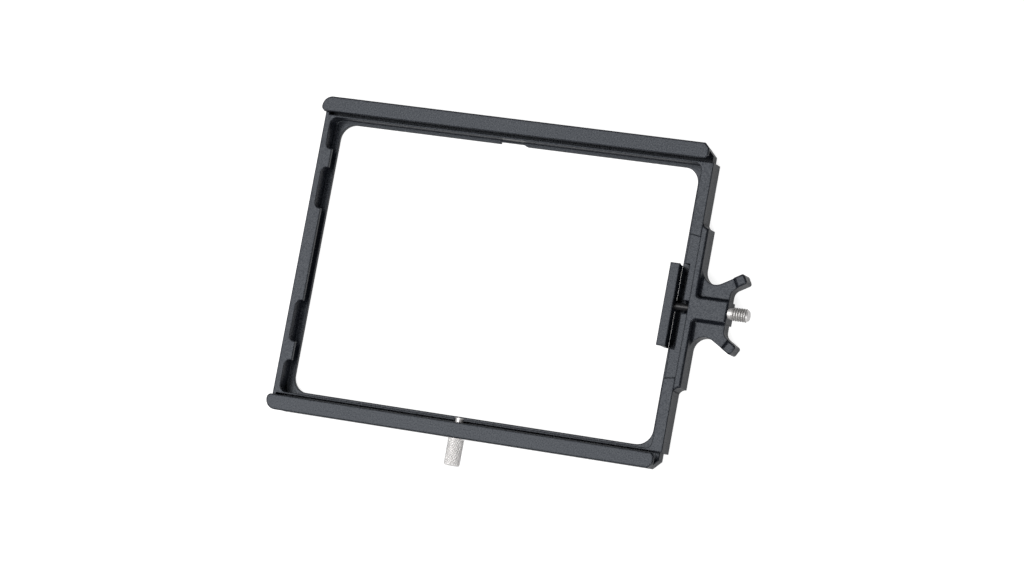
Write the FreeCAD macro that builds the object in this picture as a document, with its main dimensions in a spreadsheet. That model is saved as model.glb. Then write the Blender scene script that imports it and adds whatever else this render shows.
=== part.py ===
import FreeCAD, Part

import math
import os

import Sketcher

# Filter tray for a camera's filter holder, millimetres.
# Origin: centre of the filter space on the back plane. X runs along the tray towards the handle,
# Y across it, Z out of the front. The tray lies on its back.

DRIVING = {
    # Filter and the space that holds it
    "filter_length": 143.5,
    "filter_width": 101.6,
    "filter_thick": 4.0,
    "filter_end_play": 1.1,
    "filter_side_play": 0.4,
    "filter_face_play": 0.3,
    "pocket_corner": 2.5,
    # Frame
    "frame_thick": 7.2,
    "lip_thick": 1.6,
    "end_lip": 2.3,
    "side_lip": 1.2,
    "window_corner": 5.8,
    "left_bar": 2.3,
    "right_bar": 4.2,
    # Guide rails
    "rail_thick": 10.0,
    "rail_reach": 7.05,
    "rail_step": 0.5,
    "rail_overhang": 0.9,
    "rail_setback": 1.7,
    "rail_wall": 1.35,
    "rail_back": 4.0,
    "rail_plate": 1.0,
    "rail_lip": 5.55,
    "rail_bevel": 0.3,
    "rail_round": 3.8,
    "rail_round_inner": 1.7,
    "plate_chamfer": 1.8,
    "plate_chamfer_inner": 1.2,
    "rail_chamfer": 3.5,
    "channel_start": 2.2,
    "rib_thick": 0.7,
    # Teeth that hold the filter's left end
    "tooth_reach": 2.6,
    "long_tooth_half": 17.1,
    "short_tooth_from": 32.4,
    "short_tooth_to": 39.2,
    "scallop_round": 2.0,
    # Notch in the upper side lip
    "notch_centre": -1.8,
    "notch_length": 10.4,
    "notch_depth": 0.7,
    "notch_slant": 1.5,
    # Pusher bar and its places in the right bar
    "pusher_inset": 4.8,
    "pusher_width": 3.5,
    "pusher_half": 14.8,
    "pusher_flange": 1.4,
    "pusher_overlap": 1.1,
    "pusher_leg": 1.4,
    "pusher_travel": 4.0,
    "pusher_play": 0.1,
    "leg_side_play": 0.4,
    "recess_depth": 0.7,
    "recess_half": 26.0,
    "neck_length": 1.0,
    "neck_diameter": 4.2,
    # Rod, spring and stud on one axis
    "axis_height": 5.0,
    "rod_diameter": 2.5,
    "rod_play": 0.05,
    "slot_play": 0.2,
    "collar_diameter": 3.3,
    "collar_thick": 0.6,
    "collar_gap": 0.8,
    "rod_grip": 0.9,
    "spring_diameter": 3.3,
    "spring_wire": 0.3,
    "spring_turns": 9.0,
    "chamber_diameter": 3.6,
    "stud_diameter": 4.8,
    "stud_neck": 4.0,
    "stud_neck_length": 1.4,
    "stud_length": 7.4,
    "stud_chamfer": 0.6,
    "stud_bore_depth": 4.5,
    "stud_gap": 0.05,
    # Handle block
    "lug_thick": 2.4,
    "lug_half": 28.4,
    "lug_cove": 2.6,
    "lug_feather": 0.15,
    "lug_spare": 3.0,
    "boss_half": 4.0,
    "boss_length": 14.5,
    "boss_end_wall": 2.5,
    "plate_thick": 4.8,
    "plate_length": 13.8,
    "ear_angle": 30.6,
    "ear_width": 3.8,
    "ear_cove": 5.0,
    "ear_reach": 17.6,
    "ear_end_y": 14.6,
    "ear_inner_round": 3.0,
    "ear_tip_round": 0.9,
    "tip_pad": 3.3,
    "tip_pad_height": 1.2,
    "tip_bevel": 0.4,
    "edge_chamfer": 0.5,
    "corner_round": 1.2,
    "foot_round": 1.0,
    # Screws of the handle block
    "block_screw_y": 22.0,
    "block_screw_height": 4.2,
    "block_screw_diameter": 2.0,
    "block_screw_head": 3.8,
    "block_screw_sink": 1.2,
    "block_screw_depth": 1.8,
    "block_screw_play": 0.1,
    "block_screw_hex": 1.3,
    # Knurled thumbscrew in the lower rail
    "thumb_x": -0.8,
    "thumb_height": 6.5,
    "knob_diameter": 5.9,
    "knob_length": 10.2,
    "knob_gap": 0.1,
    "knob_chamfer": 0.5,
    "shank_diameter": 2.5,
    "shank_play": 0.05,
    "insert_diameter": 4.0,
    "tip_diameter": 3.2,
    "tip_length": 2.2,
    "tip_play": 0.1,
    "tip_stub": 1.4,
    "tip_stub_diameter": 1.6,
    "tip_proud": 0.3,
    "clip_diameter": 4.6,
    "clip_thick": 0.5,
    "clip_gap": 1.9,
}

SHEET = "Sizes"
OUTPUT = "parts"
SPRING_STEPS = 14


class Size:
    """A number with the text of the expression that gives it."""

    def __init__(self, value, text):
        self.value = value
        self.text = text

    def __add__(self, other):
        other = size(other)
        return Size(self.value + other.value, "(%s + %s)" % (self.text, other.text))

    def __sub__(self, other):
        other = size(other)
        return Size(self.value - other.value, "(%s - %s)" % (self.text, other.text))

    def __mul__(self, other):
        other = size(other)
        return Size(self.value * other.value, "(%s * %s)" % (self.text, other.text))

    def __truediv__(self, other):
        other = size(other)
        return Size(self.value / other.value, "(%s / %s)" % (self.text, other.text))

    def __radd__(self, other):
        return size(other) + self

    def __rsub__(self, other):
        return size(other) - self

    def __neg__(self):
        return Size(-self.value, "(0 - %s)" % self.text)


def size(thing):
    """A plain number becomes a Size, and a Size stays as it is."""
    if isinstance(thing, Size):
        return thing
    return Size(float(thing), "%.6g" % thing)


def sine(angle):
    return Size(math.sin(math.radians(angle.value)), "sin(%s)" % angle.text)


def cosine(angle):
    return Size(math.cos(math.radians(angle.value)), "cos(%s)" % angle.text)


def tangent(angle):
    return Size(math.tan(math.radians(angle.value)), "tan(%s)" % angle.text)


def make_sheet(doc):
    """Writes the driving sizes into the sheet and returns them as named Sizes."""
    sheet = doc.addObject("Spreadsheet::Sheet", SHEET)
    sizes = {}
    for row, (name, value) in enumerate(DRIVING.items(), start=1):
        sheet.set("A%d" % row, name)
        sheet.set("B%d" % row, repr(value))
        sheet.setAlias("B%d" % row, name)
        sizes[name] = Size(value, "%s.%s" % (SHEET, name))
    doc.recompute()
    return type("Sizes", (), sizes)


def origin_plane(body, role):
    return next(item for item in body.Origin.OriginFeatures if item.Role == role)


def new_body(doc, name):
    body = doc.addObject("PartDesign::Body", name)
    body.Label = name
    return body


def new_sketch(body, name, plane, offset):
    """A sketch on one of the body's own origin planes, moved along its normal by offset."""
    sketch = body.newObject("Sketcher::SketchObject", name)
    sketch.AttachmentSupport = (origin_plane(body, plane), [""])
    sketch.MapMode = "FlatFace"
    sketch.setExpression("AttachmentOffset.Base.z", size(offset).text)
    return sketch


def fix_point(sketch, geometry, point, corner):
    """Ties one point of the sketch to its two coordinates."""
    for kind, coordinate in zip(("DistanceX", "DistanceY"), corner):
        constraint = Sketcher.Constraint(kind, -1, 1, geometry, point, coordinate.value)
        index = sketch.addConstraint(constraint)
        sketch.setExpression("Constraints[%d]" % index, coordinate.text)


def polygon(sketch, corners, closing=None):
    """A closed outline through the corners; closing is the centre, radius and angles of a last arc."""
    corners = [(size(x), size(y)) for x, y in corners]
    points = [FreeCAD.Vector(x.value, y.value, 0) for x, y in corners]
    count = len(points)
    first = sketch.GeometryCount
    straight = count - 1 if closing else count
    lines = [Part.LineSegment(points[i], points[(i + 1) % count]) for i in range(straight)]
    sketch.addGeometry(lines, False)
    for i in range(straight - 1):
        sketch.addConstraint(Sketcher.Constraint("Coincident", first + i, 2, first + i + 1, 1))
    for i, corner in enumerate(corners[:straight]):
        fix_point(sketch, first + i, 1, corner)
    last = first + straight - 1
    if not closing:
        sketch.addConstraint(Sketcher.Constraint("Coincident", last, 2, first, 1))
        return
    fix_point(sketch, last, 2, corners[-1])
    centre, radius, angles, ends = closing
    middle = FreeCAD.Vector(size(centre[0]).value, size(centre[1]).value, 0)
    ring = Part.Circle(middle, FreeCAD.Vector(0, 0, 1), radius.value)
    arc = Part.ArcOfCircle(ring, math.radians(angles[0]), math.radians(angles[1]))
    index = sketch.addGeometry(arc, False)
    sketch.addConstraint(Sketcher.Constraint("Coincident", last, 2, index, ends[0]))
    sketch.addConstraint(Sketcher.Constraint("Coincident", first, 1, index, ends[1]))
    constraint = sketch.addConstraint(Sketcher.Constraint("Radius", index, radius.value))
    sketch.setExpression("Constraints[%d]" % constraint, radius.text)


def rectangle(sketch, x0, x1, y0, y1):
    polygon(sketch, [(x0, y0), (x1, y0), (x1, y1), (x0, y1)])


def circle(sketch, x, y, diameter):
    centre = (size(x), size(y))
    place = FreeCAD.Vector(centre[0].value, centre[1].value, 0)
    radius = size(diameter) / 2
    normal = FreeCAD.Vector(0, 0, 1)
    index = sketch.addGeometry(Part.Circle(place, normal, radius.value), False)
    fix_point(sketch, index, 3, centre)
    constraint = sketch.addConstraint(Sketcher.Constraint("Radius", index, radius.value))
    sketch.setExpression("Constraints[%d]" % constraint, radius.text)


def pad(body, sketch, length, name):
    feature = body.newObject("PartDesign::Pad", name)
    feature.Profile = sketch
    feature.setExpression("Length", size(length).text)
    return finish_feature(feature, 1)


def pocket(body, sketch, length, name, reverse=False):
    feature = body.newObject("PartDesign::Pocket", name)
    feature.Profile = sketch
    feature.Reversed = reverse
    feature.setExpression("Length", size(length).text)
    return finish_feature(feature, -1)


def finish_feature(feature, change):
    """Recomputes, and stops if the feature didn't add or take away material."""
    base = feature.BaseFeature
    before = base.Shape.Volume if base else 0.0
    feature.Document.recompute()
    if (feature.Shape.Volume - before) * change <= 0:
        raise RuntimeError(feature.Label + " changed nothing")
    return feature


def edges_where(feature, test):
    return ["Edge%d" % i for i, edge in enumerate(feature.Shape.Edges, start=1) if test(edge)]


def upright_at(places):
    """A test for edges along Z that stand at one of the places in plan."""
    spots = [(size(x).value, size(y).value) for x, y in places]

    def test(edge):
        ends = [vertex.Point for vertex in edge.Vertexes]
        if len(ends) != 2 or abs(ends[0].z - ends[1].z) < 1e-6:
            return False
        middle = (ends[0] + ends[1]) / 2
        upright = math.hypot(ends[0].x - ends[1].x, ends[0].y - ends[1].y) < 1e-6
        return upright and any(math.hypot(middle.x - x, middle.y - y) < 1e-3 for x, y in spots)

    return test


def rim_at(height):
    """A test for edges that lie at one height."""
    level = size(height).value

    def test(edge):
        return all(abs(vertex.Point.z - level) < 1e-6 for vertex in edge.Vertexes)

    return test


def dress(body, kind, base, names, amount, name):
    """A Fillet or Chamfer on named edges of the base."""
    feature = body.newObject("PartDesign::" + kind, name)
    feature.Base = (base, names)
    feature.setExpression("Radius" if kind == "Fillet" else "Size", size(amount).text)
    body.Document.recompute()
    return feature


def round_corners(body, base, places, radius, name):
    return dress(body, "Fillet", base, edges_where(base, upright_at(places)), radius, name)


def both_sides(places):
    """The places and their mirror images across the X axis."""
    return [(x, y) for x, y in places] + [(x, -size(y)) for x, y in places]


class Layout:
    """Places that several pieces share, worked out from the driving sizes."""

    def __init__(self, s):
        half_space = (s.filter_length + s.filter_end_play) / 2
        self.pocket_left = -half_space
        self.pocket_right = half_space
        self.pocket_half = (s.filter_width + s.filter_side_play) / 2
        self.tooth_under = s.lip_thick + s.filter_thick + s.filter_face_play
        self.frame_left = self.pocket_left - s.left_bar
        self.seam = self.pocket_right + s.right_bar
        self.rail_left = self.frame_left - s.rail_overhang
        self.rail_right = self.seam - s.rail_setback
        self.rail_half = self.pocket_half + s.rail_reach
        self.wall_outside = self.rail_half - s.rail_step
        self.plate_edge = self.rail_half - s.rail_lip
        self.bar_half = self.pocket_half + s.rib_thick
        self.wall_inside = self.wall_outside - s.rail_wall
        self.channel_top = s.rail_thick - s.rail_plate
        self.rib_outside = self.pocket_half + s.rib_thick
        self.window_half = self.pocket_half - s.side_lip
        self.recess_floor = s.frame_thick - s.recess_depth
        self.flange_under = self.recess_floor + s.pusher_play
        self.flange_top = self.flange_under + s.pusher_flange
        self.pusher_left = self.pocket_right - s.pusher_inset
        self.flange_right = self.pusher_left + s.pusher_width
        self.leg_left = self.pusher_left + s.pusher_overlap
        self.leg_right = self.leg_left + s.pusher_leg
        self.leg_pocket = self.leg_right + s.pusher_travel + s.pusher_play
        self.neck_end = self.leg_right + s.neck_length
        self.slot_width = s.neck_diameter + s.slot_play * 2
        self.boss_end = self.seam + s.boss_length
        self.spring_right = self.boss_end - s.boss_end_wall
        self.collar_left = self.seam + s.collar_gap
        self.spring_left = self.collar_left + s.collar_thick
        self.stud_right = self.boss_end + s.stud_length
        self.rod_left = self.leg_right - s.rod_grip
        self.rod_right = self.boss_end + s.stud_bore_depth
        self.lug_right = self.seam + s.lug_thick
        self.plate_right = self.seam + s.plate_length


def rail_wall(body, s, p, side, name):
    """The wall and back of a guide rail, set in behind its front plate."""
    outer = p.wall_outside * side
    inner = p.plate_edge * side
    left = p.rail_left + s.rail_step
    right = p.rail_right
    bevel = s.rail_overhang - s.rail_step
    cut = s.rail_chamfer - s.rail_step
    sketch = new_sketch(body, name + "_outline", "XY_Plane", 0)
    polygon(sketch, [(left + bevel, inner), (right, inner), (right, outer - cut * side),
                     (right - cut, outer), (left, outer), (left, inner + bevel * side)])
    wall = pad(body, sketch, p.channel_top, name)
    return round_corners(body, wall, [(left, outer)], s.rail_round - s.rail_step, name + "_end")


def rail_plate(body, s, p, side, name):
    """The front plate of a guide rail, rounded at the left and cut at both right corners."""
    outer = p.rail_half * side
    inner = p.plate_edge * side
    left = p.rail_left
    right = p.rail_right
    bend = s.rail_round_inner
    cut = s.plate_chamfer
    inner_cut = s.plate_chamfer_inner
    corners = [(left + bend, inner), (right - inner_cut, inner), (right, inner + inner_cut * side),
               (right, outer - cut * side), (right - cut, outer), (left, outer),
               (left, inner + bend * side)]
    centre = (left + bend, inner + bend * side)
    angles = (180, 270) if side > 0 else (90, 180)
    ends = (1, 2) if side > 0 else (2, 1)
    sketch = new_sketch(body, name + "_outline", "XY_Plane", p.channel_top)
    polygon(sketch, corners, (centre, bend, angles, ends))
    plate = pad(body, sketch, s.rail_plate, name)
    return round_corners(body, plate, [(left, outer)], s.rail_round, name + "_end")


def frame_bars(body, s, p):
    """The flat ring of the frame, with the right bar standing past the rails."""
    sketch = new_sketch(body, "ring_outline", "XY_Plane", 0)
    step = p.rail_right
    edge = p.plate_edge
    half = p.bar_half
    polygon(sketch, [(p.frame_left, -edge), (step, -edge), (step, -half), (p.seam, -half),
                     (p.seam, half), (step, half), (step, edge), (p.frame_left, edge)])
    return pad(body, sketch, s.frame_thick, "ring")


def channel(body, s, p, side, name):
    """The hollow along a rail, open at the right end and along its inner edge."""
    sketch = new_sketch(body, name + "_section", "XY_Plane", p.channel_top)
    start = p.rail_left + s.channel_start
    rectangle(sketch, start, p.seam + 1, p.rib_outside * side, p.wall_inside * side)
    return pocket(body, sketch, p.channel_top - s.rail_back, name)


def filter_space(body, s, p):
    """The slot that holds the filter, behind the teeth and in front of the lips."""
    sketch = new_sketch(body, "filter_outline", "XY_Plane", p.tooth_under)
    half = p.pocket_half
    rectangle(sketch, p.pocket_left, p.pocket_right, -half, half)
    return pocket(body, sketch, p.tooth_under - s.lip_thick, "filter_space")


def front_opening(body, s, p):
    """The opening in front of the filter, with the teeth standing into it at the left."""
    wall = p.pocket_left
    tip = wall + s.tooth_reach
    half = p.pocket_half
    steps = [(wall, half), (wall, s.short_tooth_to), (tip, s.short_tooth_to), (tip, s.short_tooth_from),
             (wall, s.short_tooth_from), (wall, s.long_tooth_half), (tip, s.long_tooth_half)]
    lower = [(x, -size(y)) for x, y in reversed(steps)]
    sketch = new_sketch(body, "opening_outline", "XY_Plane", s.frame_thick)
    polygon(sketch, [(p.pocket_right, half)] + steps + lower + [(p.pocket_right, -half)])
    cut = pocket(body, sketch, s.frame_thick - p.tooth_under, "front_opening")
    rounds = [(wall, s.short_tooth_to), (wall, s.short_tooth_from), (wall, s.long_tooth_half)]
    cut = round_corners(body, cut, both_sides(rounds), s.scallop_round, "scallop_rounds")
    corners = [(wall, half), (p.pocket_right, half)]
    return round_corners(body, cut, both_sides(corners), s.pocket_corner, "filter_corners")


def window(body, s, p):
    """The clear window through the back, with its notch in the upper lip."""
    sketch = new_sketch(body, "window_outline", "XY_Plane", s.lip_thick)
    left = p.pocket_left + s.end_lip
    right = p.pocket_right - s.end_lip
    half = p.window_half
    rectangle(sketch, left, right, -half, half)
    cut = pocket(body, sketch, s.lip_thick, "window")
    corners = both_sides([(left, half), (right, half)])
    round_corners(body, cut, corners, s.window_corner, "window_corners")
    sketch = new_sketch(body, "notch_outline", "XY_Plane", s.lip_thick)
    start = s.notch_centre - s.notch_length / 2
    end = s.notch_centre + s.notch_length / 2
    deep = half + s.notch_depth
    shallow = half - 1
    polygon(sketch, [(start, shallow), (end, shallow), (end, half),
                     (end - s.notch_slant, deep), (start, deep)])
    return pocket(body, sketch, s.lip_thick, "lip_notch")


def pusher_places(body, s, p):
    """Recess, leg pocket and rod slot in the right bar."""
    sketch = new_sketch(body, "recess_outline", "XY_Plane", s.frame_thick)
    inside = p.pocket_right - 1
    arc_rise = s.recess_half - 1
    polygon(sketch, [(inside, -s.recess_half), (p.seam + 1, -arc_rise),
                     (p.seam + 1, arc_rise), (inside, s.recess_half)])
    pocket(body, sketch, s.recess_depth, "pusher_recess")
    sketch = new_sketch(body, "leg_pocket_outline", "XY_Plane", s.frame_thick)
    half = s.pusher_half + s.leg_side_play
    rectangle(sketch, inside, p.leg_pocket, -half, half)
    pocket(body, sketch, s.frame_thick - s.lip_thick, "leg_pocket")
    sketch = new_sketch(body, "rod_slot_outline", "XY_Plane", s.frame_thick)
    half = p.slot_width / 2
    rectangle(sketch, p.leg_pocket - 0.5, p.seam + 1, -half, half)
    pocket(body, sketch, s.frame_thick - s.axis_height, "rod_slot")
    sketch = new_sketch(body, "rod_round_outline", "YZ_Plane", p.leg_pocket - 0.5)
    circle(sketch, 0, s.axis_height, p.slot_width)
    return pocket(body, sketch, p.seam - p.leg_pocket + 1.5, "rod_round", reverse=True)


def block_screw_holes(body, s, p):
    """Two countersunk holes through the right bar for the screws of the handle block."""
    hole = s.block_screw_diameter + s.block_screw_play * 2
    sketch = new_sketch(body, "screw_hole_outline", "YZ_Plane", p.pocket_right - 0.5)
    for side in (1, -1):
        circle(sketch, s.block_screw_y * side, s.block_screw_height, hole)
    pocket(body, sketch, s.right_bar + 1, "screw_holes", reverse=True)
    head = s.block_screw_head + s.block_screw_play * 2
    sketch = new_sketch(body, "screw_head_outline", "YZ_Plane", p.pocket_right - 0.5)
    for side in (1, -1):
        circle(sketch, s.block_screw_y * side, s.block_screw_height, head)
    return pocket(body, sketch, s.block_screw_sink + 0.5, "screw_heads", reverse=True)


def thumb_holes(body, s, p):
    """Holes of the thumbscrew: the insert's seat in the rail wall and the tip's way through the rib."""
    sketch = new_sketch(body, "insert_outline", "XZ_Plane", p.wall_outside + 0.5)
    circle(sketch, s.thumb_x, s.thumb_height, s.insert_diameter)
    pocket(body, sketch, s.rail_wall + 0.5, "insert_seat")
    sketch = new_sketch(body, "tip_way_outline", "XZ_Plane", p.rib_outside + 0.2)
    circle(sketch, s.thumb_x, s.thumb_height, s.tip_diameter + s.tip_play * 2)
    return pocket(body, sketch, s.rib_thick + 0.7, "tip_way")


def tray_frame(doc, s, p):
    body = new_body(doc, "tray_frame")
    frame_bars(body, s, p)
    rail_wall(body, s, p, 1, "upper_wall")
    rail_wall(body, s, p, -1, "lower_wall")
    rail_plate(body, s, p, 1, "upper_plate")
    rail_plate(body, s, p, -1, "lower_plate")
    rims = edges_where(body.Tip, rim_at(s.rail_thick))
    dress(body, "Chamfer", body.Tip, rims, s.rail_bevel, "plate_bevels")
    channel(body, s, p, 1, "upper_channel")
    channel(body, s, p, -1, "lower_channel")
    filter_space(body, s, p)
    front_opening(body, s, p)
    window(body, s, p)
    pusher_places(body, s, p)
    block_screw_holes(body, s, p)
    thumb_holes(body, s, p)
    return body


def ear_outline(s, p):
    """Corners of one ear, from the lug round the tip to the edge beside the boss."""
    slope = tangent(s.ear_angle)
    along = cosine(s.ear_angle)
    across = sine(s.ear_angle)
    end_x = p.seam + s.ear_reach
    end_y = s.ear_end_y
    inner_x = end_x + s.ear_width * across
    inner_y = end_y - s.ear_width * along
    cove_y = end_y - (end_x - p.lug_right) * slope
    root_x = p.plate_right
    root_y = inner_y - (inner_x - root_x) * slope
    return {
        "cove": (p.lug_right, cove_y),
        "end": (end_x, end_y),
        "inner": (inner_x, inner_y),
        "root": (root_x, root_y),
    }


def tip_outline(s, ear):
    """Corners of the raised pad on the end of an ear."""
    back = s.tip_pad + s.tip_pad_height
    shift_x = back * cosine(s.ear_angle)
    shift_y = back * sine(s.ear_angle)
    corners = [ear["end"], ear["inner"]]
    behind = [(x - shift_x, y - shift_y) for x, y in reversed(corners)]
    return corners + behind


def level_edges(body, height, corners):
    """Names of the straight edges at one height that join the pairs of corners."""
    middles = []
    for first, second in corners:
        x = (size(first[0]) + second[0]) / 2
        y = (size(first[1]) + second[1]) / 2
        middles.append(FreeCAD.Vector(x.value, y.value, size(height).value))

    def test(edge):
        if len(edge.Vertexes) != 2 or edge.Curve.TypeId != "Part::GeomLine":
            return False
        middle = (edge.Vertexes[0].Point + edge.Vertexes[1].Point) / 2
        return any(middle.distanceToPoint(place) < 1e-3 for place in middles)

    return edges_where(body.Tip, test)


def block_plate(body, s, p):
    """The low plate of the handle block with both ears and their raised tips."""
    ear = ear_outline(s, p)
    names = ("cove", "end", "inner", "root")
    side = [(p.seam, s.lug_half), (p.lug_right, s.lug_half)] + [ear[name] for name in names]
    mirrored = [(x, -size(y)) for x, y in reversed(side)]
    sketch = new_sketch(body, "plate_outline", "XY_Plane", 0)
    polygon(sketch, side + mirrored)
    pad(body, sketch, s.plate_thick, "plate")
    tip = tip_outline(s, ear)
    lower_tip = [(x, -size(y)) for x, y in tip]
    sketch = new_sketch(body, "tip_outline", "XY_Plane", 0)
    polygon(sketch, tip)
    polygon(sketch, lower_tip)
    plate = pad(body, sketch, s.plate_thick + s.tip_pad_height, "tips")
    ramps = level_edges(body, s.plate_thick + s.tip_pad_height,
                        [(tip[2], tip[3]), (lower_tip[2], lower_tip[3])])
    plate = dress(body, "Chamfer", plate, ramps, s.tip_pad_height - 0.05, "tip_ramps")
    plate = round_corners(body, plate, both_sides([ear["cove"]]), s.ear_cove, "ear_coves")
    plate = round_corners(body, plate, both_sides([ear["root"]]), s.ear_inner_round, "ear_roots")
    tips = both_sides([ear["end"], ear["inner"]])
    return round_corners(body, plate, tips, s.ear_tip_round, "ear_tips")


def block_lug(body, s, p):
    """The lug that lies along the bar, with hollow ends; it starts behind the seam and is cut later."""
    end = s.lug_half + s.lug_cove
    sketch = new_sketch(body, "lug_outline", "XY_Plane", 0)
    rectangle(sketch, p.seam - s.lug_spare, p.lug_right, -end, end)
    pad(body, sketch, s.frame_thick, "lug")
    sketch = new_sketch(body, "lug_end_outline", "XY_Plane", s.frame_thick)
    for way in (1, -1):
        circle(sketch, p.seam + s.lug_cove - s.lug_feather, end * way, s.lug_cove * 2)
    return pocket(body, sketch, s.frame_thick, "lug_ends")


def block_boss(body, s, p):
    """The boss that stands round the rod, out to its stop."""
    sketch = new_sketch(body, "boss_outline", "XY_Plane", 0)
    rectangle(sketch, p.lug_right - 0.5, p.boss_end, -s.boss_half, s.boss_half)
    return pad(body, sketch, s.frame_thick, "boss")


def soften_block(body, s, p):
    """Rounds the corners between lug and boss, hollows their feet and bevels the front edges."""
    corners = both_sides([(p.lug_right, s.boss_half)])
    block = round_corners(body, body.Tip, corners, s.corner_round, "boss_corners")
    block = dress(body, "Fillet", block, foot_edges(block, s, p), s.foot_round, "wall_feet")
    rims = edges_where(block, front_rim(s, p))
    block = dress(body, "Chamfer", block, rims, s.edge_chamfer, "front_bevels")
    rims = edges_where(block, rim_at(s.plate_thick + s.tip_pad_height))
    dress(body, "Chamfer", block, rims, s.tip_bevel, "tip_bevels")
    sketch = new_sketch(body, "seam_outline", "XY_Plane", s.frame_thick)
    end = s.lug_half + s.lug_cove + 1
    rectangle(sketch, p.seam - s.lug_spare - 1, p.seam, -end, end)
    return pocket(body, sketch, s.frame_thick, "seam_face")


def foot_edges(block, s, p):
    """Edges where the walls of the lug and the boss stand on the low plate."""
    level = s.plate_thick.value

    def test(edge):
        ends = [vertex.Point for vertex in edge.Vertexes]
        if any(abs(point.z - level) > 1e-6 for point in ends):
            return False
        middle = edge.valueAt((edge.FirstParameter + edge.LastParameter) / 2)
        inside = abs(middle.y) < s.lug_half.value - 1 and middle.x < p.plate_right.value - 0.1
        by_lug = abs(middle.x - p.lug_right.value) < 0.01
        by_boss = abs(abs(middle.y) - s.boss_half.value) < 0.01
        between = abs(middle.y) < s.boss_half.value + 1.3 and middle.x < p.lug_right.value + 1.3
        cove = abs(middle.y) < ear_outline(s, p)["cove"][1].value + s.ear_cove.value
        return inside and cove and (by_lug or by_boss or between)

    return edges_where(block, test)


def front_rim(s, p):
    """A test for the edges round the front face of the lug and the boss, apart from the seam."""
    at_front = rim_at(s.frame_thick)

    def test(edge):
        ends = [vertex.Point for vertex in edge.Vertexes]
        behind_seam = all(point.x < p.seam.value for point in ends)
        return at_front(edge) and not behind_seam

    return test


def handle_block(doc, s, p):
    """Lug along the bar, boss round the rod and two swept ears for the fingers."""
    body = new_body(doc, "handle_block")
    block_plate(body, s, p)
    block_lug(body, s, p)
    block_boss(body, s, p)
    soften_block(body, s, p)
    bore_block(body, s, p)
    return body


def bore_block(body, s, p):
    """The spring's chamber, the rod's guide and the two screw holes."""
    start = p.seam - 0.5
    sketch = new_sketch(body, "chamber_outline", "YZ_Plane", start)
    circle(sketch, 0, s.axis_height, s.chamber_diameter)
    pocket(body, sketch, p.spring_right - start, "spring_chamber", reverse=True)
    sketch = new_sketch(body, "guide_outline", "YZ_Plane", start)
    circle(sketch, 0, s.axis_height, s.rod_diameter + s.rod_play * 2)
    pocket(body, sketch, s.boss_length + 1, "rod_guide", reverse=True)
    sketch = new_sketch(body, "block_screw_outline", "YZ_Plane", start)
    for way in (1, -1):
        circle(sketch, s.block_screw_y * way, s.block_screw_height, s.block_screw_diameter)
    return pocket(body, sketch, s.block_screw_depth + 0.5, "block_screw_holes", reverse=True)


def turned(body, name, profile, axis_name, place):
    """A turned piece: its half profile on a level plane, revolved about one of the sketch axes."""
    sketch = new_sketch(body, name + "_profile", "XY_Plane", place[2])
    sketch.setExpression("AttachmentOffset.Base.x", size(place[0]).text)
    sketch.setExpression("AttachmentOffset.Base.y", size(place[1]).text)
    polygon(sketch, profile)
    feature = body.newObject("PartDesign::Revolution", name + "_turned")
    feature.Profile = sketch
    feature.ReferenceAxis = (sketch, [axis_name])
    feature.Angle = 360
    return finish_feature(feature, 1)


def pusher_bar(doc, s, p):
    """The spring-loaded bar: a flange over the filter's edge, a leg against it and the rod's neck."""
    body = new_body(doc, "pusher_bar")
    half = s.pusher_half
    sketch = new_sketch(body, "leg_outline", "XY_Plane", s.lip_thick + s.pusher_play)
    rectangle(sketch, p.leg_left, p.leg_right, -half, half)
    pad(body, sketch, p.flange_top - s.lip_thick - s.pusher_play, "leg")
    sketch = new_sketch(body, "flange_outline", "XY_Plane", p.flange_under)
    rectangle(sketch, p.pusher_left, p.flange_right, -half, half)
    pad(body, sketch, s.pusher_flange, "flange")
    sketch = new_sketch(body, "neck_outline", "YZ_Plane", p.leg_right - 0.2)
    circle(sketch, 0, s.axis_height, s.neck_diameter)
    pad(body, sketch, s.neck_length + 0.2, "neck")
    sketch = new_sketch(body, "rod_seat_outline", "YZ_Plane", p.neck_end + 1)
    circle(sketch, 0, s.axis_height, s.rod_diameter)
    pocket(body, sketch, s.rod_grip + s.neck_length + 1, "rod_seat")
    return body


def pusher_rod(doc, s, p):
    body = new_body(doc, "pusher_rod")
    sketch = new_sketch(body, "rod_outline", "YZ_Plane", p.rod_left)
    circle(sketch, 0, s.axis_height, s.rod_diameter)
    pad(body, sketch, p.rod_right - p.rod_left, "rod")
    return body


def rod_collar(doc, s, p):
    """The ring on the rod that the spring pushes against."""
    body = new_body(doc, "rod_collar")
    sketch = new_sketch(body, "collar_outline", "YZ_Plane", p.collar_left)
    circle(sketch, 0, s.axis_height, s.collar_diameter)
    circle(sketch, 0, s.axis_height, s.rod_diameter)
    pad(body, sketch, s.collar_thick, "collar")
    return body


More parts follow.
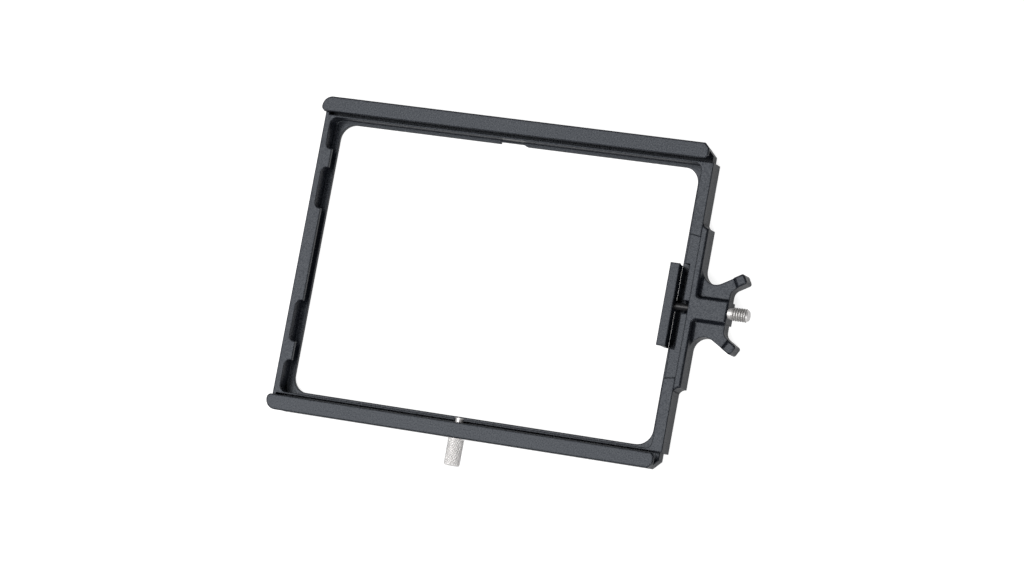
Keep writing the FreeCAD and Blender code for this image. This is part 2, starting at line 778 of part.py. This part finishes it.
def return_spring(doc, s, p):
    """A coil spring round the rod: a six-sided wire along a path of short straight steps."""
    radius = (s.spring_diameter - s.spring_wire) / 2
    length = p.spring_right - p.spring_left - s.spring_wire
    start = p.spring_left + s.spring_wire / 2
    steps = int(s.spring_turns.value * SPRING_STEPS)
    points = []
    for step in range(steps + 1):
        angle = 2 * math.pi * step / SPRING_STEPS
        points.append(FreeCAD.Vector(start.value + length.value * step / steps,
                                     radius.value * math.cos(angle),
                                     s.axis_height.value + radius.value * math.sin(angle)))
    path = doc.addObject("Part::Polygon", "spring_path")
    path.Nodes = points
    wire = doc.addObject("Part::RegularPolygon", "spring_section")
    wire.Polygon = 6
    wire.setExpression("Circumradius", (s.spring_wire / 2).text)
    along = FreeCAD.Rotation(FreeCAD.Vector(0, 0, 1), points[1] - points[0])
    wire.Placement = FreeCAD.Placement(points[0], along)
    doc.recompute()
    sweep = doc.addObject("Part::Sweep", "return_spring")
    sweep.Sections = [wire]
    sweep.Spine = (path, ["Edge%d" % i for i in range(1, steps + 1)])
    sweep.Solid = True
    sweep.Transition = "Right corner"
    sweep.Label = "return_spring"
    return sweep


def pull_stud(doc, s, p):
    """The stud on the rod's end that the fingers pull against."""
    body = new_body(doc, "pull_stud")
    left = p.boss_end + s.stud_gap
    neck = s.stud_neck / 2
    outer = s.stud_diameter / 2
    bore = s.rod_diameter / 2
    right = left + s.stud_length
    cut = s.stud_chamfer
    shoulder = left + s.stud_neck_length
    profile = [(left, bore), (left, neck), (shoulder, neck), (shoulder, outer),
               (right - cut, outer), (right, outer - cut), (right, 0),
               (p.rod_right, 0), (p.rod_right, bore)]
    turned(body, "stud", profile, "H_Axis", (0, 0, s.axis_height))
    return body


def block_screw(doc, s, p, side, name):
    """One socket screw, driven from inside the frame through the bar into the lug."""
    body = new_body(doc, name)
    inner = p.pocket_right + s.block_screw_play
    seat = p.pocket_right + s.block_screw_sink
    end = p.seam + s.block_screw_depth
    head = s.block_screw_head / 2
    shank = s.block_screw_diameter / 2
    profile = [(inner, 0), (inner, head), (seat, head), (seat, shank), (end, shank), (end, 0)]
    turned(body, name, profile, "H_Axis", (0, s.block_screw_y * side, s.block_screw_height))
    sketch = new_sketch(body, name + "_socket", "YZ_Plane", inner - 0.5)
    across = s.block_screw_hex / 2
    corners = []
    for step in range(6):
        y = across * (math.cos(math.radians(60 * step)) / math.cos(math.radians(30)))
        z = across * (math.sin(math.radians(60 * step)) / math.cos(math.radians(30)))
        corners.append((s.block_screw_y * side + y, s.block_screw_height + z))
    polygon(sketch, corners)
    pocket(body, sketch, s.block_screw_sink - s.block_screw_play, name + "_hex", reverse=True)
    return body


def thumbscrew(doc, s, p):
    """Knob and shank in one piece, with a stub that turns inside the tip."""
    body = new_body(doc, "thumbscrew")
    near = -(p.rail_half + s.knob_gap)
    far = near - s.knob_length
    knob = s.knob_diameter / 2
    shank = s.shank_diameter / 2
    stub = s.tip_stub_diameter / 2
    cut = s.knob_chamfer
    tip_foot = -(p.pocket_half - s.tip_proud) - s.tip_length
    shank_end = tip_foot - s.tip_play
    stub_end = tip_foot + s.tip_stub
    profile = [(0, stub_end), (stub, stub_end), (stub, shank_end), (shank, shank_end),
               (shank, near), (knob - cut, near), (knob, near - cut), (knob, far + cut),
               (knob - cut, far), (0, far)]
    turned(body, "screw", profile, "V_Axis", (s.thumb_x, 0, s.thumb_height))
    return body


def thumbscrew_tip(doc, s, p):
    """The pad on the screw's end that presses on the filter's edge and doesn't turn with it."""
    body = new_body(doc, "thumbscrew_tip")
    end = -(p.pocket_half - s.tip_proud)
    foot = end - s.tip_length
    outer = s.tip_diameter / 2
    bore = s.tip_stub_diameter / 2 + s.shank_play
    depth = foot + s.tip_stub + s.tip_play
    profile = [(0, end), (outer, end), (outer, foot), (bore, foot), (bore, depth), (0, depth)]
    turned(body, "tip", profile, "V_Axis", (s.thumb_x, 0, s.thumb_height))
    return body


def thread_insert(doc, s, p):
    """The threaded bush in the rail's outer wall."""
    body = new_body(doc, "thread_insert")
    bore = s.shank_diameter / 2 + s.shank_play
    outer = s.insert_diameter / 2
    profile = [(bore, -p.wall_inside), (outer, -p.wall_inside),
               (outer, -p.wall_outside), (bore, -p.wall_outside)]
    turned(body, "bush", profile, "V_Axis", (s.thumb_x, 0, s.thumb_height))
    return body


def screw_retainer(doc, s, p):
    """The ring on the shank that keeps the screw from leaving the rail."""
    body = new_body(doc, "screw_retainer")
    near = -(p.wall_inside - s.clip_gap)
    far = near + s.clip_thick
    bore = s.shank_diameter / 2
    outer = s.clip_diameter / 2
    profile = [(bore, near), (outer, near), (outer, far), (bore, far)]
    turned(body, "ring", profile, "V_Axis", (s.thumb_x, 0, s.thumb_height))
    return body


def main():
    doc = FreeCAD.newDocument("filter_tray")
    s = make_sheet(doc)
    p = Layout(s)
    pieces = [
        tray_frame(doc, s, p),
        handle_block(doc, s, p),
        block_screw(doc, s, p, 1, "handle_screw_upper"),
        block_screw(doc, s, p, -1, "handle_screw_lower"),
        pusher_bar(doc, s, p),
        pusher_rod(doc, s, p),
        rod_collar(doc, s, p),
        return_spring(doc, s, p),
        pull_stud(doc, s, p),
        thumbscrew(doc, s, p),
        thumbscrew_tip(doc, s, p),
        thread_insert(doc, s, p),
        screw_retainer(doc, s, p),
    ]
    doc.recompute()
    write_pieces(doc, pieces)


def write_pieces(doc, pieces):
    """Stops if anything failed, then writes each piece under its label."""
    for item in doc.Objects:
        if "Invalid" in item.State or "Error" in item.State:
            raise RuntimeError(item.Label + " failed")
    for piece in pieces:
        if piece.Shape.isNull() or not piece.Shape.isValid():
            raise RuntimeError(piece.Label + " has no valid shape")
    os.makedirs(OUTPUT, exist_ok=True)
    for piece in pieces:
        piece.Shape.exportStep(os.path.join(OUTPUT, piece.Label + ".step"))
        print(piece.Label, round(piece.Shape.Volume, 2), len(piece.Shape.Solids))


main()
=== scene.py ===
import math

import bpy
from mathutils import Matrix, Vector

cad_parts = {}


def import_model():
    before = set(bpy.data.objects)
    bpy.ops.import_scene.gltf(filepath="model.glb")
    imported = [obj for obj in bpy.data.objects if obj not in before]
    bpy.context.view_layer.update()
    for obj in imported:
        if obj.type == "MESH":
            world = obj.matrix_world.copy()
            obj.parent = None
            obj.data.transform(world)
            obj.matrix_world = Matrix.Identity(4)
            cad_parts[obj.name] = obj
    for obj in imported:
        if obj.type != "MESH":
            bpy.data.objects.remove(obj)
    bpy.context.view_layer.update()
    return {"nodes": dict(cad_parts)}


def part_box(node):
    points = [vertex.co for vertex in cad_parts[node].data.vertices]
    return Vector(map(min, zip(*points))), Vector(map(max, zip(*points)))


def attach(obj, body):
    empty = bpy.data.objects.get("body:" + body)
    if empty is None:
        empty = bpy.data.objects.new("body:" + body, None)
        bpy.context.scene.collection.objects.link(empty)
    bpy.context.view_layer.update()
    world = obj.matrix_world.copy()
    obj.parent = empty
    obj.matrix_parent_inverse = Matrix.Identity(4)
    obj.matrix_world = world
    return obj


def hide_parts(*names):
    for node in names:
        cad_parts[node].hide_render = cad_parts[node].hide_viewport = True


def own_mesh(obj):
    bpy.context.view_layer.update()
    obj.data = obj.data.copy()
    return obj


# A filter tray in black anodised aluminium with a steel pull stud and a knurled steel screw.
# It lies on its back on a white floor, seen from above its handle end. Lengths are in metres.

MM = 0.001

# Camera, at the photograph's angle
CAMERA_PLACE = (0.5425, -0.1511, 1.3173)
CAMERA_RIGHT = (0.9181, 0.1810, -0.3526)
CAMERA_UP = (-0.1298, 0.9779, 0.1639)
CAMERA_BACK = (0.3745, -0.1047, 0.9213)
CAMERA_REACH = 20
SENSOR_WIDTH = 36.0
FOCAL_LENGTH = 140.625

# Light: a large softbox above the left end, a small one at the lower right, a dim room
KEY_PLACE = (-0.50, -0.10, 1.15)
KEY_SIZE = 1.1
KEY_POWER = 12.5
FILL_PLACE = (0.9, -0.9, 1.2)
FILL_SIZE = 0.6
FILL_POWER = 11.0
ROOM_LIGHT = 0.04
BACKGROUND = 1.0

# Floor: the light it gives back, what the camera sees of it, and its share in a gloss
FLOOR_SIZE = 6.0
FLOOR_DROP = 0.5 * MM
FLOOR_PAPER = 0.5
FLOOR_GLOW = 0.86
FLOOR_IN_GLOSS = 0.4

# Grain: fine beads over slow patches
BEAD_SCALE = 2000
BEAD_DETAIL = 2
BEAD_CONTRAST = (0.3, 0.7)
BEAD_GAIN = (-1, 1)
PATCH_SCALE = 55
PATCH_DETAIL = 3
PATCH_CONTRAST = (0, 1)
PATCH_GAIN = (0.9, 1.1)
GRAIN_HEIGHT = 0.02 * MM

# Soft edges, in the shading only
EDGE_SOFTNESS = 0.7 * MM
EDGE_SAMPLES = 6

# Metals: colour, tint of the gloss, roughness, metallic, speckle, bump, softness of the edges
NO_TINT = (1, 1, 1, 1)
METALS = {
    "black_anodise": ((0.01, 0.012, 0.017), (0.87, 0.92, 1.0, 1), 0.33, 0, 0.45, 0.4, EDGE_SOFTNESS),
    "turned_steel": ((0.92, 0.9, 0.89), NO_TINT, 0.42, 0.55, 0.05, 0.1, 0),
    # Turned steel darkened for the groove faces of the knurl and of the stud's rings: painted shade.
    "steel_painted_groove_shade": ((0.42, 0.41, 0.4), NO_TINT, 0.5, 0.55, 0.05, 0.1, 0),
    "spring_wire": ((0.4, 0.4, 0.41), NO_TINT, 0.3, 1, 0.05, 0.1, 0),
    "black_oxide": ((0.02, 0.02, 0.022), NO_TINT, 0.35, 0, 0.2, 0.2, 0),
}
FINISHES = {
    "black_anodise": ("tray_frame", "handle_block", "pusher_bar"),
    "black_oxide": ("handle_screw_upper", "handle_screw_lower", "pusher_rod"),
    "turned_steel": ("rod_collar", "pull_stud", "thumbscrew", "thumbscrew_tip",
                     "thread_insert", "screw_retainer"),
    "spring_wire": ("return_spring",),
}

# Knurled screw: knob, shank and stub
KNOB_TEETH = 20
KNOB_ROWS = 96
KNOB_STEPS = 6
KNOB_SHORT = 0.5 * MM
KNOB_GAP = 0.1 * MM
KNOB_BEVEL = 0.5 * MM
BEVEL_BEND = (0.5, 0.45)
KNOB_LIP = 0.15 * MM
KNOB_CAP = 0.2
SHANK_RADIUS = 1.25 * MM
STUB_RADIUS = 0.8 * MM
STUB_LENGTH = 1.5 * MM
STUB_CAP = 0.2 * MM
KNURL_DEPTH = 0.3 * MM
KNURL_LEAD = 22.0 * MM
# Knurl faces deeper than this share of the knurl depth get painted shade.
KNURL_DARK_BELOW = 0.88

# Pull stud: neck, rings and chamfer. A ring is given as shares of the pitch and of its height
STUD_HOLE = 1.25 * MM
NECK_RADIUS = 2.0 * MM
NECK_LENGTH = 1.4 * MM
STUD_CHAMFER = 0.6 * MM
STUD_CAP = 0.3 * MM
STUD_PITCH = 0.85 * MM
STUD_DEPTH = 0.36 * MM
RING = ((0.12, 0), (0.42, 1), (0.62, 1), (0.92, 0))
LAST_RING_DEPTH = 0.6
# Ring faces deeper than this share of the ring depth get painted shade.
RINGS_DARK_BELOW = 0.5
TURN_STEPS = 64

# Spring
SPRING_WIRE = 0.3 * MM
SPRING_TURNS = 9
SPRING_STEPS = 28
WIRE_SIDES = 10


def math_node(tree, operation, first, second):
    """The output of a Math node on two values, each a socket or a plain number."""
    node = tree.nodes.new("ShaderNodeMath")
    node.operation = operation
    for socket, value in zip(node.inputs, (first, second)):
        if isinstance(value, (int, float)):
            socket.default_value = value
        else:
            tree.links.new(value, socket)
    return node.outputs["Value"]


def map_range(tree, value, old, new):
    """The output of a Map Range node that takes the value from the old range to the new one."""
    node = tree.nodes.new("ShaderNodeMapRange")
    node.inputs["From Min"].default_value, node.inputs["From Max"].default_value = old
    node.inputs["To Min"].default_value, node.inputs["To Max"].default_value = new
    tree.links.new(value, node.inputs["Value"])
    return node.outputs["Result"]


def noise(tree, place, scale, detail):
    """The output of a Noise texture at the given place."""
    node = tree.nodes.new("ShaderNodeTexNoise")
    node.inputs["Scale"].default_value = scale
    node.inputs["Detail"].default_value = detail
    tree.links.new(place, node.inputs["Vector"])
    return node.outputs["Fac"]


def fine_grain_group():
    """Bead-blasted grain: a fine speckle in the colour and roughness, and a height for the bump."""
    group = bpy.data.node_groups.new("fine_grain", "ShaderNodeTree")
    for name, way, kind in (
        ("Colour", "INPUT", "NodeSocketColor"),
        ("Speckle", "INPUT", "NodeSocketFloat"),
        ("Roughness", "INPUT", "NodeSocketFloat"),
        ("Colour", "OUTPUT", "NodeSocketColor"),
        ("Roughness", "OUTPUT", "NodeSocketFloat"),
        ("Height", "OUTPUT", "NodeSocketFloat"),
    ):
        group.interface.new_socket(name, in_out=way, socket_type=kind)
    nodes = group.nodes
    links = group.links
    entry = nodes.new("NodeGroupInput")
    exit_node = nodes.new("NodeGroupOutput")
    place = nodes.new("ShaderNodeTexCoord").outputs["Object"]
    beads = noise(group, place, BEAD_SCALE, BEAD_DETAIL)
    patches = noise(group, place, PATCH_SCALE, PATCH_DETAIL)
    spread = map_range(group, beads, BEAD_CONTRAST, BEAD_GAIN)
    scaled = math_node(group, "MULTIPLY", spread, entry.outputs["Speckle"])
    gain = math_node(group, "ADD", scaled, 1)
    slow = map_range(group, patches, PATCH_CONTRAST, PATCH_GAIN)
    both = math_node(group, "MULTIPLY", gain, slow)
    rough = math_node(group, "MULTIPLY", entry.outputs["Roughness"], both)
    tint = nodes.new("ShaderNodeVectorMath")
    tint.operation = "SCALE"
    links.new(entry.outputs["Colour"], tint.inputs[0])
    links.new(both, tint.inputs["Scale"])
    links.new(tint.outputs["Vector"], exit_node.inputs["Colour"])
    links.new(rough, exit_node.inputs["Roughness"])
    links.new(beads, exit_node.inputs["Height"])
    return group


def metal(name, grain):
    """A metal of the table, with the grain in its colour, roughness and bump."""
    colour, tint, roughness, metallic, speckle, bump, softness = METALS[name]
    material = bpy.data.materials.new(name)
    material.use_nodes = True
    nodes = material.node_tree.nodes
    links = material.node_tree.links
    shader = nodes["Principled BSDF"]
    shader.inputs["Metallic"].default_value = metallic
    shader.inputs["Specular Tint"].default_value = tint
    grit = nodes.new("ShaderNodeGroup")
    grit.node_tree = grain
    grit.inputs["Colour"].default_value = (*colour, 1)
    grit.inputs["Speckle"].default_value = speckle
    grit.inputs["Roughness"].default_value = roughness
    links.new(grit.outputs["Colour"], shader.inputs["Base Color"])
    links.new(grit.outputs["Roughness"], shader.inputs["Roughness"])
    relief = nodes.new("ShaderNodeBump")
    relief.inputs["Strength"].default_value = bump
    relief.inputs["Distance"].default_value = GRAIN_HEIGHT
    links.new(grit.outputs["Height"], relief.inputs["Height"])
    if softness:
        soft = nodes.new("ShaderNodeBevel")
        soft.samples = EDGE_SAMPLES
        soft.inputs["Radius"].default_value = softness
        links.new(soft.outputs["Normal"], relief.inputs["Normal"])
    links.new(relief.outputs["Normal"], shader.inputs["Normal"])
    return material


def dress(node, material):
    node.data.materials.clear()
    node.data.materials.append(material)


def add_object(name, data):
    thing = bpy.data.objects.new(name, data)
    bpy.context.scene.collection.objects.link(thing)
    return thing


def mesh_piece(name, vertices, faces, material, smooth=False):
    mesh = bpy.data.meshes.new(name)
    mesh.from_pydata(vertices, [], faces)
    mesh.validate()
    mesh.materials.append(material)
    for polygon in mesh.polygons:
        polygon.use_smooth = smooth
    return add_object(name, mesh)


def paint_groove_shade(piece, material, centre, axis, span, surface):
    """Gives the grooves' faces, below the surface and inside the span, the darker material, as
    painted shade in the grooves.
    """
    piece.data.materials.append(material)
    for polygon in piece.data.polygons:
        offset = polygon.center - centre
        along = offset[axis]
        offset[axis] = 0
        if span[0] < along < span[1] and offset.length < surface:
            polygon.material_index = 1


def lathe(rows, steps, place):
    """Vertices and faces of a closed turned shape; place puts (along, angle, radius) in space."""
    vertices = [
        place(along, 2 * math.pi * k / steps, radius)
        for along, radius in rows for k in range(steps)
    ]
    last = (len(rows) - 1) * steps
    faces = []
    for row in range(0, last, steps):
        for k in range(steps):
            a = row + k
            b = row + (k + 1) % steps
            faces.append((a, b, b + steps, a + steps))
    faces.append(tuple(reversed(range(steps))))
    faces.append(tuple(range(last, last + steps)))
    return vertices, faces


def knurl_height(angle, along):
    """Depth below the knob's surface where two crossing sets of grooves meet."""
    turns = angle / (2 * math.pi) * KNOB_TEETH
    lead = along / KNURL_LEAD * KNOB_TEETH
    first = abs((turns + lead) % 1.0 - 0.5) * 2
    second = abs((turns - lead) % 1.0 - 0.5) * 2
    return KNURL_DEPTH * max(first, second)


def knurled_screw(material, groove_shade):
    """The screw with its diamond knurl cut into the knob, and painted shade on the knurl's groove
    faces.
    """
    low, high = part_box("thumbscrew")
    centre_x = (low.x + high.x) / 2
    centre_z = (low.z + high.z) / 2
    knob = (high.x - low.x) / 2
    far = low.y + KNOB_SHORT
    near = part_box("tray_frame")[0].y - KNOB_GAP
    start = far + KNOB_BEVEL
    end = near - 2 * KNOB_LIP
    stub = high.y - STUB_LENGTH
    rows = [
        (far, KNOB_CAP * knob),
        (far, knob - KNOB_BEVEL),
        (far + KNOB_BEVEL * BEVEL_BEND[0], knob - KNOB_BEVEL * BEVEL_BEND[1]),
    ]
    rows += [(start + (end - start) * i / KNOB_ROWS, knob) for i in range(KNOB_ROWS + 1)]
    rows += [
        (near - KNOB_LIP, knob),
        (near, knob - KNOB_LIP),
        (near, SHANK_RADIUS),
        (stub, SHANK_RADIUS),
        (stub, STUB_RADIUS),
        (high.y, STUB_RADIUS),
        (high.y, STUB_CAP),
    ]

    def place(along, angle, radius):
        if radius == knob:
            radius -= knurl_height(angle, along)
        return (centre_x + radius * math.cos(angle), along, centre_z - radius * math.sin(angle))

    vertices, faces = lathe(rows, KNOB_TEETH * KNOB_STEPS, place)
    piece = mesh_piece("knurled_screw", vertices, faces, material)
    centre = Vector((centre_x, 0, centre_z))
    dark_below = knob - KNURL_DEPTH * KNURL_DARK_BELOW
    # Painted shade: the knurl's deep groove faces get the darker steel.
    paint_groove_shade(piece, groove_shade, centre, 1, (start, end), dark_below)
    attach(piece, "screw")
    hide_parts("thumbscrew")


def ringed_stud(material, groove_shade):
    """The pull stud with its thread-like rings and its chamfered end, and painted shade on the
    rings' groove faces.
    """
    low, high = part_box("pull_stud")
    centre_z = (low.z + high.z) / 2
    outer = (high.z - low.z) / 2
    root = outer - STUD_DEPTH
    shoulder = low.x + NECK_LENGTH
    tip = high.x - STUD_CHAMFER
    count = int((tip - shoulder) / STUD_PITCH)
    pitch = (tip - shoulder) / count
    rows = [
        (low.x, STUD_HOLE),
        (low.x, NECK_RADIUS),
        (shoulder, NECK_RADIUS),
        (shoulder, root),
    ]
    for i in range(count):
        start = shoulder + i * pitch
        rows += [(start + pitch * share, outer if height else root) for share, height in RING]
    rows += [
        (tip, outer - STUD_DEPTH * LAST_RING_DEPTH),
        (high.x, outer - STUD_CHAMFER),
        (high.x, STUD_CAP),
    ]

    def place(along, angle, radius):
        return (along, radius * math.cos(angle), centre_z + radius * math.sin(angle))

    vertices, faces = lathe(rows, TURN_STEPS, place)
    piece = mesh_piece("ringed_stud", vertices, faces, material)
    centre = Vector((0, 0, centre_z))
    dark_below = outer - STUD_DEPTH * RINGS_DARK_BELOW
    # Painted shade: the rings' deep groove faces get the darker steel.
    paint_groove_shade(piece, groove_shade, centre, 0, (shoulder, tip), dark_below)
    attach(piece, "pusher")
    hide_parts("pull_stud")


def coil_spring(material):
    """The round-wire spring in the boss, which the pusher presses; here a fixed coil that rides with
    the tray.
    """
    low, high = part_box("return_spring")
    wire = SPRING_WIRE / 2
    radius = (high.z - low.z) / 2 - wire
    centre = Vector((0, 0, (low.z + high.z) / 2))
    first = low.x + wire
    length = high.x - wire - first
    steps = SPRING_TURNS * SPRING_STEPS
    vertices = []
    for i in range(steps + 1):
        angle = 2 * math.pi * i / SPRING_STEPS
        outward = Vector((0, math.cos(angle), math.sin(angle)))
        middle = centre + outward * radius + Vector((first + length * i / steps, 0, 0))
        for k in range(WIRE_SIDES):
            turn = 2 * math.pi * k / WIRE_SIDES
            across = outward * math.cos(turn) + Vector((math.sin(turn), 0, 0))
            vertices.append(middle + across * wire)
    last = steps * WIRE_SIDES
    faces = [tuple(range(WIRE_SIDES)), tuple(reversed(range(last, last + WIRE_SIDES)))]
    for ring in range(0, last, WIRE_SIDES):
        for k in range(WIRE_SIDES):
            a = ring + k
            b = ring + (k + 1) % WIRE_SIDES
            faces.append((a, a + WIRE_SIDES, b + WIRE_SIDES, b))
    piece = mesh_piece("coil_spring", vertices, faces, material, smooth=True)
    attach(piece, "tray")
    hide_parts("return_spring")
    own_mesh(piece)


def floor():
    """A white floor: white to the camera, plainer to the light that bounces, with the shadow."""
    material = bpy.data.materials.new("floor_white")
    material.use_nodes = True
    tree = material.node_tree
    nodes = tree.nodes
    links = tree.links
    nodes.clear()
    rays = nodes.new("ShaderNodeLightPath")
    mirrored = math_node(tree, "MULTIPLY", rays.outputs["Is Glossy Ray"], FLOOR_IN_GLOSS)
    seen = math_node(tree, "MAXIMUM", rays.outputs["Is Camera Ray"], mirrored)
    paper = nodes.new("ShaderNodeBsdfDiffuse")
    paper.inputs["Color"].default_value = (FLOOR_PAPER, FLOOR_PAPER, FLOOR_PAPER, 1)
    glow = nodes.new("ShaderNodeEmission")
    links.new(math_node(tree, "MULTIPLY", seen, FLOOR_GLOW), glow.inputs["Strength"])
    both = nodes.new("ShaderNodeAddShader")
    links.new(paper.outputs["BSDF"], both.inputs[0])
    links.new(glow.outputs["Emission"], both.inputs[1])
    output = nodes.new("ShaderNodeOutputMaterial")
    links.new(both.outputs["Shader"], output.inputs["Surface"])
    half = FLOOR_SIZE / 2
    corners = [(-half, -half, 0), (half, -half, 0), (half, half, 0), (-half, half, 0)]
    plane = mesh_piece("floor", corners, [(0, 1, 2, 3)], material)
    plane.location.z = -FLOOR_DROP


def background(nodes, strength):
    node = nodes.new("ShaderNodeBackground")
    node.inputs["Strength"].default_value = strength
    return node.outputs["Background"]


def world():
    """White where the camera sees it, and a dim even light on the tray."""
    sky = bpy.data.worlds.new("studio")
    bpy.context.scene.world = sky
    sky.use_nodes = True
    tree = sky.node_tree
    nodes = tree.nodes
    links = tree.links
    nodes.clear()
    rays = nodes.new("ShaderNodeLightPath")
    seen = math_node(
        tree, "MAXIMUM", rays.outputs["Is Camera Ray"], rays.outputs["Is Transmission Ray"]
    )
    mix = nodes.new("ShaderNodeMixShader")
    links.new(seen, mix.inputs["Fac"])
    links.new(background(nodes, ROOM_LIGHT), mix.inputs[1])
    links.new(background(nodes, BACKGROUND), mix.inputs[2])
    output = nodes.new("ShaderNodeOutputWorld")
    links.new(mix.outputs["Shader"], output.inputs["Surface"])


def softbox(name, place, size, power):
    """A square light that faces the tray's middle."""
    light = bpy.data.lights.new(name, "AREA")
    light.shape = "SQUARE"
    light.size = size
    light.energy = power
    lamp = add_object(name, light)
    lamp.location = place
    lamp.rotation_euler = (-Vector(place)).to_track_quat("-Z", "Y").to_euler()


def camera():
    data = bpy.data.cameras.new("camera")
    data.sensor_width = SENSOR_WIDTH
    data.lens = FOCAL_LENGTH
    data.clip_end = CAMERA_REACH
    eye = add_object("camera", data)
    columns = Matrix((CAMERA_RIGHT, CAMERA_UP, CAMERA_BACK)).transposed()
    eye.matrix_world = Matrix.Translation(CAMERA_PLACE) @ columns.to_4x4()
    bpy.context.scene.camera = eye


def main():
    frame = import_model()
    grain = fine_grain_group()
    metals = {name: metal(name, grain) for name in METALS}
    for name, pieces in FINISHES.items():
        for piece in pieces:
            dress(frame["nodes"][piece], metals[name])
    knurled_screw(metals["turned_steel"], metals["steel_painted_groove_shade"])
    ringed_stud(metals["turned_steel"], metals["steel_painted_groove_shade"])
    coil_spring(metals["spring_wire"])
    floor()
    world()
    softbox("key", KEY_PLACE, KEY_SIZE, KEY_POWER)
    softbox("fill", FILL_PLACE, FILL_SIZE, FILL_POWER)
    camera()
    bpy.context.scene.view_settings.view_transform = "Standard"


main()
